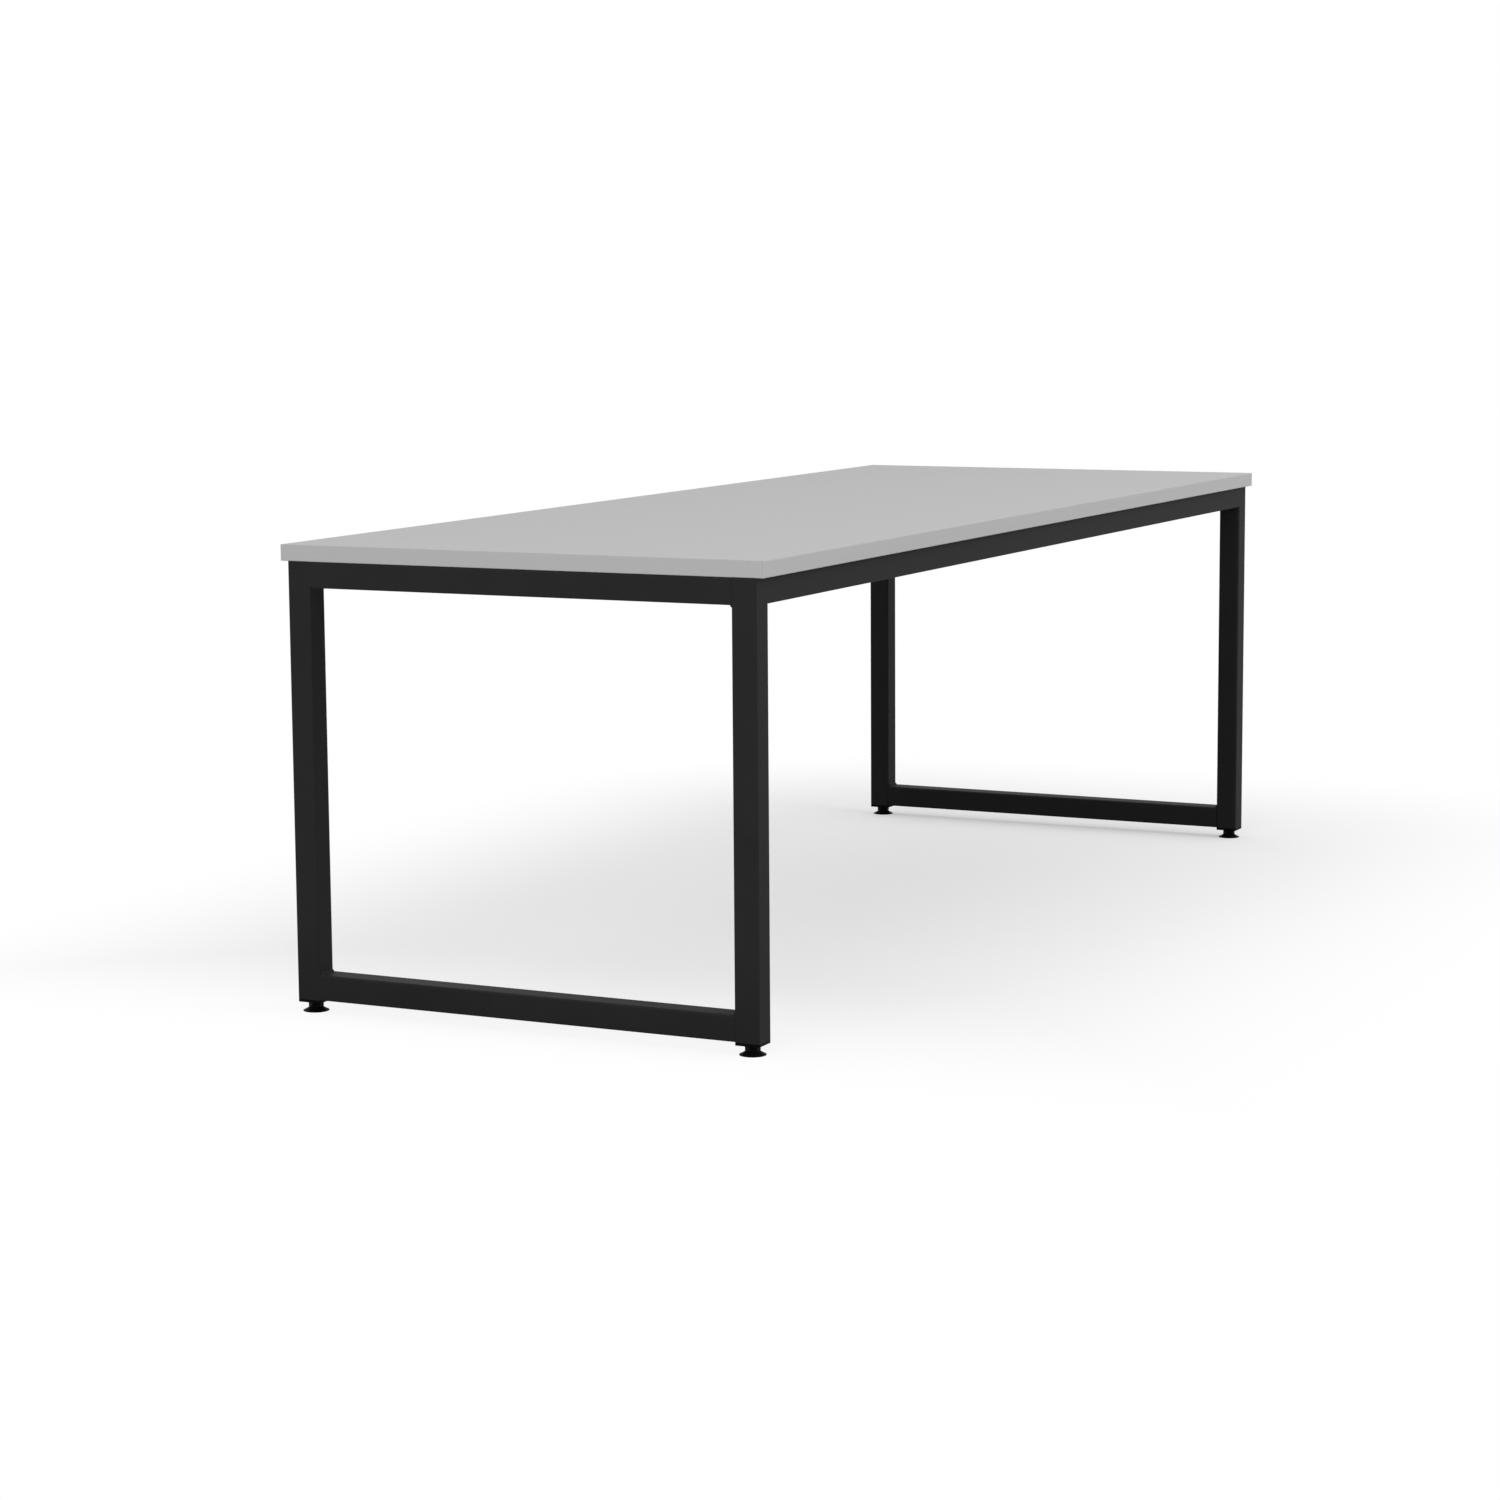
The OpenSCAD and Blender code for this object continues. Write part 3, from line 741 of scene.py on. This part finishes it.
# %% Ripples of a bead
# Ripples are crescents: the middle of the face trails behind its edges
wobbles_per_metre = 300.0

run, crown = recall(bead_tree, "run"), recall(bead_tree, "crown")
wobble = noise(bead_tree, None, wobbles_per_metre, detail=1.0)
ripples_done = sums(bead_tree, "DIVIDE", run, given["Ripple Pitch"])
trailing = sums(bead_tree, "MULTIPLY_ADD", crown, given["Crescent"], ripples_done)
phase = sums(bead_tree, "MULTIPLY", sums(bead_tree, "ADD", trailing, wobble), math.pi)
wave = sums(bead_tree, "ABSOLUTE", sums(bead_tree, "SINE", phase))
lift = sums(bead_tree, "MULTIPLY", sums(bead_tree, "MULTIPLY", wave, crown), given["Ripple Height"])
outward = add(bead_tree, "GeometryNodeInputNormal").outputs[0]
raised = add(bead_tree, "ShaderNodeVectorMath", {0: outward, 3: lift}, operation="SCALE").outputs[0]
bead = add(bead_tree, "GeometryNodeSetPosition", {"Geometry": bead, "Offset": raised}).outputs[0]
finish_tree(bead_tree, bead, given["Finish"], result)
print("nodes in the tree:", len(bead_tree.nodes))

# %% Lay the beads
weld_beads = grow("weld_beads", seam_mesh(seams), bead_tree, {"Finish": powder_coat}, sharp_degrees=60)
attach(weld_beads, "table")
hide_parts("frame_welds")

# %% [markdown]
# Butt welds, ground flush
#
# Outside, the joints hardly show. A square-cut tube end against a tube with round corners leaves a
# groove, so it was filled with weld and ground level before the coating. In plan, the filling is what is
# left between the post's round corner, the rail's cut end and the plane of the outer faces. Towards the
# rail's own round edges that plane bends away, so the filling gets deeper and thinner there. On the end
# faces of the right-hand posts it stays a hair below the steel, and a faint line shows. A stack of
# outlines, one for each height, says all of that.

# %% Outlines of a filling
arc_steps = 8
line_depth = 0.0004
followed_bend = math.radians(80)  # how far round the rail's own edge a filling goes
flush_sharp_degrees = 30


def groove_plan(corner, outward, to_rail, depth):
    """Outline at one height, where the faces' plane and the rail's cut end would meet at the corner."""
    hub = corner - tube_corner * (outward + to_rail)
    first = math.acos(1 - depth / tube_corner)
    turns = [first + (math.pi / 2 - first) * i / arc_steps for i in range(arc_steps + 1)]
    arc = [hub + tube_corner * (math.cos(t) * outward + math.sin(t) * to_rail) for t in turns]
    return arc + [corner - depth * outward]


def groove_depths(low, high, least):
    """Rows of (height, depth below the outer faces) from the rail's lower edge to its upper one."""
    upper = []
    for i in range(arc_steps + 1):
        bend = followed_bend * i / arc_steps
        z = high - tube_corner * (1 - math.sin(bend))
        upper.append((z, max(least, tube_corner * (1 - math.cos(bend)))))
    return [(low + high - z, depth) for z, depth in reversed(upper)] + upper


# %% One filling
def add_filling(points, faces, rows, corner, outward, to_rail):
    """Adds a closed stack of outlines to lists of points and faces, with its faces outwards."""
    step = 1 if outward.cross(to_rail).z < 0 else -1
    start, count = len(points), arc_steps + 2
    for z, depth in rows:
        points += [(p.x, p.y, z) for p in groove_plan(corner, outward, to_rail, depth)[::step]]
    faces.append([start + i for i in reversed(range(count))])
    faces.append([start + (len(rows) - 1) * count + i for i in range(count)])
    for row in range(len(rows) - 1):
        for i in range(count):
            a, b = start + row * count + i, start + row * count + (i + 1) % count
            faces.append([a, b, b + count, a + count])


# %% Fill the grooves
groove_points, groove_faces = [], []
for end in (-1, 1):
    for side in (-1, 1):
        centre, inner_x, inner_y = corner_of_post(end, side)[:3]
        outer_x, outer_y = 2 * centre.x - inner_x, 2 * centre.y - inner_y
        out_x, out_y = Vector((end, 0, 0)), Vector((0, side, 0))
        grooves = [("side_rail_left", Vector((inner_x, outer_y, 0)), out_y, -out_x),
                   ("end_rail_near", Vector((outer_x, inner_y, 0)), out_x, -out_y),
                   ("foot_rail_near", Vector((outer_x, inner_y, 0)), out_x, -out_y)]
        for rail, corner, outward, to_rail in grooves:
            least = line_depth if side < 0 and outward == out_x else 0.0
            low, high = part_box(rail)
            rows = groove_depths(low.z, high.z, least)
            add_filling(groove_points, groove_faces, rows, corner, outward, to_rail)
flush_mesh = bpy.data.meshes.new("flush_welds")
flush_mesh.from_pydata(groove_points, [], groove_faces)
flush_mesh.materials.append(powder_coat)
shade(flush_mesh, flush_sharp_degrees)
flush_welds = bpy.data.objects.new("flush_welds", flush_mesh)
scene.collection.objects.link(flush_welds)
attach(flush_welds, "table")
print("flush welds, faces:", len(groove_faces))

# %% [markdown]
# A thread
#
# A screw thread is one ridge that climbs a cylinder. The tree takes a flat grid, rolls it round so that
# its columns become angles and its rows heights, and pushes each point out by how near it is to the
# ridge: the height in turns, less the share of a turn already made, says where in the pitch a point lies.
# The first and last rows are drawn in to the axis, which closes the ends. The same group serves the
# levelling studs and the screws, because only the sizes differ.

# %% Thread group
thread_group, given, result = start_group(
    "Threaded rod", "GeometryNodeTree",
    [("Diameter", "Float", 0.01), ("Pitch", "Float", 0.0015), ("Depth", "Float", 0.0009),
     ("Length", "Float", 0.03), ("Tip Length", "Float", 0.001), ("Tip Radius", "Float", 0.004),
     ("Around", "Int", 32), ("Per Pitch", "Int", 12)],
    [("Mesh", "Geometry")])

# A row for each step and one more, and one at each end that closes it
turns_in_all = sums(thread_group, "DIVIDE", given["Length"], given["Pitch"])
steps = sums(thread_group, "ROUND", sums(thread_group, "MULTIPLY", turns_in_all, given["Per Pitch"]))
rows = sums(thread_group, "ADD", steps, 3.0)
columns = sums(thread_group, "ADD", given["Around"], 1.0)
grid = add(thread_group, "GeometryNodeMeshGrid", (1.0, 1.0, columns, rows)).outputs[0]
index = add(thread_group, "GeometryNodeInputIndex").outputs[0]
row = sums(thread_group, "MODULO", index, rows)
column = sums(thread_group, "DIVIDE", sums(thread_group, "ADD", index, 0.5), rows)
turn = sums(thread_group, "DIVIDE", sums(thread_group, "FLOOR", column), given["Around"])
last_row = sums(thread_group, "SUBTRACT", rows, 1.0)
climb = ramp(thread_group, row, 1.0, sums(thread_group, "SUBTRACT", last_row, 1.0), 0.0, given["Length"])
print("group:", thread_group.name)

# %% Profile of a thread
# Across one pitch it is a flat crest, a flank, a flat root and a flank. Both flats are shares of the pitch.
root_flat, crest_flat = 0.25, 0.125
same_point = 1e-6

lead = sums(thread_group, "SUBTRACT", sums(thread_group, "DIVIDE", climb, given["Pitch"]), turn)
in_pitch = sums(thread_group, "FRACT", sums(thread_group, "ADD", lead, 1.0))
from_root = sums(thread_group, "ABSOLUTE", sums(thread_group, "MULTIPLY_ADD", in_pitch, 2.0, -1.0))
sunk = ramp(thread_group, from_root, root_flat, 1 - crest_flat, given["Depth"], 0.0)
whole = sums(thread_group, "MULTIPLY", given["Diameter"], 0.5)
left = sums(thread_group, "SUBTRACT", given["Length"], climb)
tip = ramp(thread_group, left, 0.0, given["Tip Length"], given["Tip Radius"], whole)
radius = sums(thread_group, "MINIMUM", sums(thread_group, "SUBTRACT", whole, sunk), tip)
after_first = sums(thread_group, "GREATER_THAN", row, 0.5)
before_last = sums(thread_group, "LESS_THAN", row, sums(thread_group, "SUBTRACT", last_row, 0.5))
radius = sums(thread_group, "MULTIPLY", radius, sums(thread_group, "MULTIPLY", after_first, before_last))
angle = sums(thread_group, "MULTIPLY", turn, 2 * math.pi)
rolled = point(thread_group, sums(thread_group, "MULTIPLY", radius, sums(thread_group, "COSINE", angle)),
               sums(thread_group, "MULTIPLY", radius, sums(thread_group, "SINE", angle)), climb)
rod = add(thread_group, "GeometryNodeSetPosition", {"Geometry": grid, "Position": rolled}).outputs[0]
rod = merge(thread_group, rod, same_point)
thread_group.links.new(rod, result["Mesh"])
print("nodes in the group:", len(thread_group.nodes))

# %% [markdown]
# The levelling studs
#
# Each foot turns on an M10 stud, whose hexagonal head is moulded into the hub. At rest the hub is screwed
# up against the insert and the thread is out of sight. When a foot is screwed out, up to 15 mm of bright
# thread shows, and its ridge has to climb at the pitch by which the foot moves: 1.5 mm a turn.

# %% Stud tree
depth_per_pitch = 0.61

stud_tree, given, result = start_group(
    "Levelling stud", "GeometryNodeTree",
    [("Geometry", "Geometry", None), ("Foot", "Vector", None), ("Diameter", "Float", 0.01),
     ("Length", "Float", 0.03), ("Pitch", "Float", 0.0015), ("Bevel", "Float", 0.001),
     ("Head Flats", "Float", 0.017), ("Head Height", "Float", 0.0064), ("Finish", "Material", None)],
    [("Geometry", "Geometry")])
radius = sums(stud_tree, "MULTIPLY", given["Diameter"], 0.5)
thread_depth = sums(stud_tree, "MULTIPLY", given["Pitch"], depth_per_pitch)
tip_radius = sums(stud_tree, "SUBTRACT", radius, given["Bevel"])
shank = add(stud_tree, "GeometryNodeGroup",
            {"Diameter": given["Diameter"], "Pitch": given["Pitch"], "Depth": thread_depth,
             "Length": given["Length"], "Tip Length": given["Bevel"], "Tip Radius": tip_radius},
            node_tree=thread_group).outputs[0]
corner_radius = sums(stud_tree, "DIVIDE", given["Head Flats"], 2 * math.cos(math.radians(30)))
head = add(stud_tree, "GeometryNodeMeshCylinder",
           {"Vertices": 6, "Radius": corner_radius, "Depth": given["Head Height"]}).outputs[0]
half_head = point(stud_tree, 0.0, 0.0, sums(stud_tree, "MULTIPLY", given["Head Height"], 0.5))
head = transform(stud_tree, head, Translation=half_head)
whole_stud = transform(stud_tree, join(stud_tree, shank, head), Translation=given["Foot"])
finish_tree(stud_tree, whole_stud, given["Finish"], result)
print("tree:", stud_tree.name)

# %% Grow the studs
stud_diameter, thread_pitch = 0.010, 0.0015

for end in ("near", "far"):
    for side in ("left", "right"):
        low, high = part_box(f"stud_{end}_{side}")
        foot = Vector(((low.x + high.x) / 2, (low.y + high.y) / 2, low.z))
        stud = grow(f"threaded_stud_{end}_{side}", bpy.data.meshes.new("seed"), stud_tree,
                    {"Foot": foot, "Diameter": stud_diameter, "Length": high.z - low.z,
                     "Pitch": thread_pitch, "Head Flats": high.y - low.y, "Finish": zinc})
        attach(stud, f"foot_screw_{end}_{side}")
        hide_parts(f"stud_{end}_{side}")

# %% [markdown]
# Twelve screws
#
# A pan-head screw comes up through each bracket into the board. From below, its head shows as a low dome
# with a cross recess. The dome is half of a flattened ball, the recess is cut with two tapered bars, and
# the shank is the thread group again with a coarser pitch and a point. One screw is grown and set on a
# point for each bracket, turned by a seeded random angle, because no two screws stop at the same one.

# %% Screw tree
screw_tree, given, result = start_group(
    "Pan-head screw", "GeometryNodeTree",
    [("Geometry", "Geometry", None), ("Head Diameter", "Float", 0.0096), ("Head Height", "Float", 0.003),
     ("Shank Diameter", "Float", 0.005), ("Thread Depth", "Float", 0.0008), ("Length", "Float", 0.02),
     ("Recess Width", "Float", 0.005), ("Recess Depth", "Float", 0.0022), ("Seed", "Int", 7),
     ("Finish", "Material", None)],
    [("Geometry", "Geometry")])
print("tree:", screw_tree.name)

# %% Dome of a screw's head
# A block takes the upper half of the ball away. It only has to be larger than the head.
block_width, block_height = 0.04, 0.02

head_radius = sums(screw_tree, "MULTIPLY", given["Head Diameter"], 0.5)
ball = add(screw_tree, "GeometryNodeMeshUVSphere", {"Segments": 40, "Rings": 21, "Radius": 1.0}).outputs[0]
squash = point(screw_tree, head_radius, head_radius, given["Head Height"])
dome = transform(screw_tree, ball, Scale=squash)
block_size = (block_width, block_width, block_height)
block = add(screw_tree, "GeometryNodeMeshCube", {"Size": block_size}).outputs[0]
block = transform(screw_tree, block, Translation=(0, 0, block_height / 2))
print("block, metres:", block_size)

# %% Cross recess
# A bar is a cone with four corners. The shares are its radius to its width, its top to its bottom, and its
# thickness to its width.
radius_share, top_share, thickness_share = 0.7, 0.45, 0.24
sliver = 2e-6

half_width = sums(screw_tree, "MULTIPLY", given["Recess Width"], radius_share)
top_radius = sums(screw_tree, "MULTIPLY", half_width, top_share)
cone = add(screw_tree, "GeometryNodeMeshCone",
           {"Vertices": 4, "Radius Top": top_radius, "Radius Bottom": half_width,
            "Depth": given["Recess Depth"]}).outputs[0]
squared = transform(screw_tree, cone, Rotation=(0, 0, math.pi / 4))
bar = transform(screw_tree, squared, Scale=(1, thickness_share, 1))
lowest = point(screw_tree, 0.0, 0.0, sums(screw_tree, "MULTIPLY", given["Head Height"], -1.0))
bars = [transform(screw_tree, bar, Translation=lowest, Rotation=(0, 0, quarters * math.pi / 4))
        for quarters in (1, 3)]
cross = join(screw_tree, *bars)
cut = add(screw_tree, "GeometryNodeMeshBoolean", {"Mesh 1": dome}, operation="DIFFERENCE", solver="EXACT")
for cutter in (block, cross):
    screw_tree.links.new(cutter, cut.inputs["Mesh 2"])
head = merge(screw_tree, cut.outputs[0], sliver)
print("width of a bar to its thickness:", round(1 / thickness_share, 1))

# %% Shank of a screw, and its place
coarse_pitch, point_length, point_radius = 0.0022, 0.005, 0.0002

shank = add(screw_tree, "GeometryNodeGroup",
            {"Diameter": given["Shank Diameter"], "Pitch": coarse_pitch, "Depth": given["Thread Depth"],
             "Length": given["Length"], "Tip Length": point_length, "Tip Radius": point_radius,
             "Around": 16, "Per Pitch": 9}, node_tree=thread_group).outputs[0]
spin = add(screw_tree, "FunctionNodeRandomValue", {"Max": (0, 0, 2 * math.pi), "Seed": given["Seed"]},
           data_type="FLOAT_VECTOR").outputs[0]
placed = add(screw_tree, "GeometryNodeInstanceOnPoints",
             {"Points": given["Geometry"], "Instance": join(screw_tree, head, shank),
              "Rotation": spin}).outputs[0]
finish_tree(screw_tree, placed, given["Finish"], result)
print("nodes in the tree:", len(screw_tree.nodes))

# %% Set the screws
bracket_thickness = 0.003
screw_offset = 0.017  # from the rail's inner face
screw_length = 0.020

screw_low, screw_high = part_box("top_screws")
seat = screw_high.z - screw_length
heads = [place + inward * screw_offset + down * bracket_thickness for place, inward in bracket_places()]
screw_seed = bpy.data.meshes.new("screw_places")
screw_seed.from_pydata(heads, [], [])
screws = grow("cross_head_screws", screw_seed, screw_tree,
              {"Head Height": seat - screw_low.z, "Length": screw_high.z - seat, "Finish": zinc})
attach(screws, "table")
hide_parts("top_screws")

# %% Measure
low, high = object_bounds()
print("visual size in metres:", [round(c, 4) for c in high - low])
